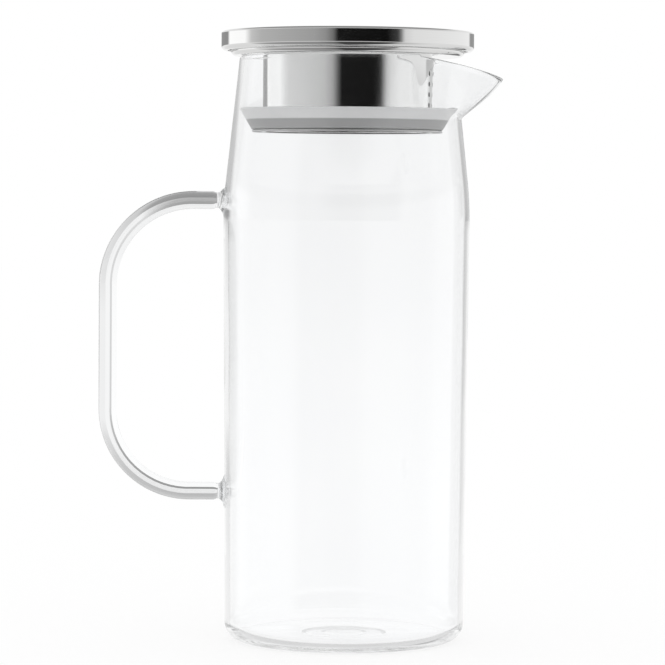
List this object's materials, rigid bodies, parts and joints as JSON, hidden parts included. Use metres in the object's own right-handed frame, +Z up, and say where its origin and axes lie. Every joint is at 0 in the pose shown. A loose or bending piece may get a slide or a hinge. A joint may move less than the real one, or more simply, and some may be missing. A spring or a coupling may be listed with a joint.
{
  "type": "glass pitcher with strainer lid",
  "caption": "Tall clear glass pitcher with a pulled spout, a D-shaped glass handle and a steel lid whose perforated barrel and silicone seal turn and lift out of the mouth.",
  "frame": {"origin": "on the upright axis of the vessel, in the plane that the pitcher stands on", "axes": "+Z up along the vessel's axis, +X from the axis towards the spout, the handle towards -X, +Y completes a right-handed frame"},
  "size_m": [0.1714, 0.107, 0.258],
  "materials": {
    "clear_glass": "clear polished borosilicate glass",
    "lid_steel": "polished stainless steel",
    "seal_silicone": "translucent white silicone"
  },
  "bodies": {
    "pitcher": {"glass_body": "clear_glass", "glass_handle": "clear_glass"},
    "seal": {"seal_ring": "seal_silicone"},
    "lid": {"lid_cover": "lid_steel", "lid_base_plate": "lid_steel", "strainer_barrel": "lid_steel"}
  },
  "joints": [
    {"name": "lid_lift", "type": "slide", "parent": "pitcher", "child": "seal", "axis": [0, 0, 1], "range_m": [0, 0.06], "deforming": ["seal_ring"]},
    {"name": "lid_turn", "type": "hinge", "parent": "seal", "child": "lid", "pos_m": [0, 0, 0.23], "axis": [0, 0, 1], "continuous": true}
  ]
}
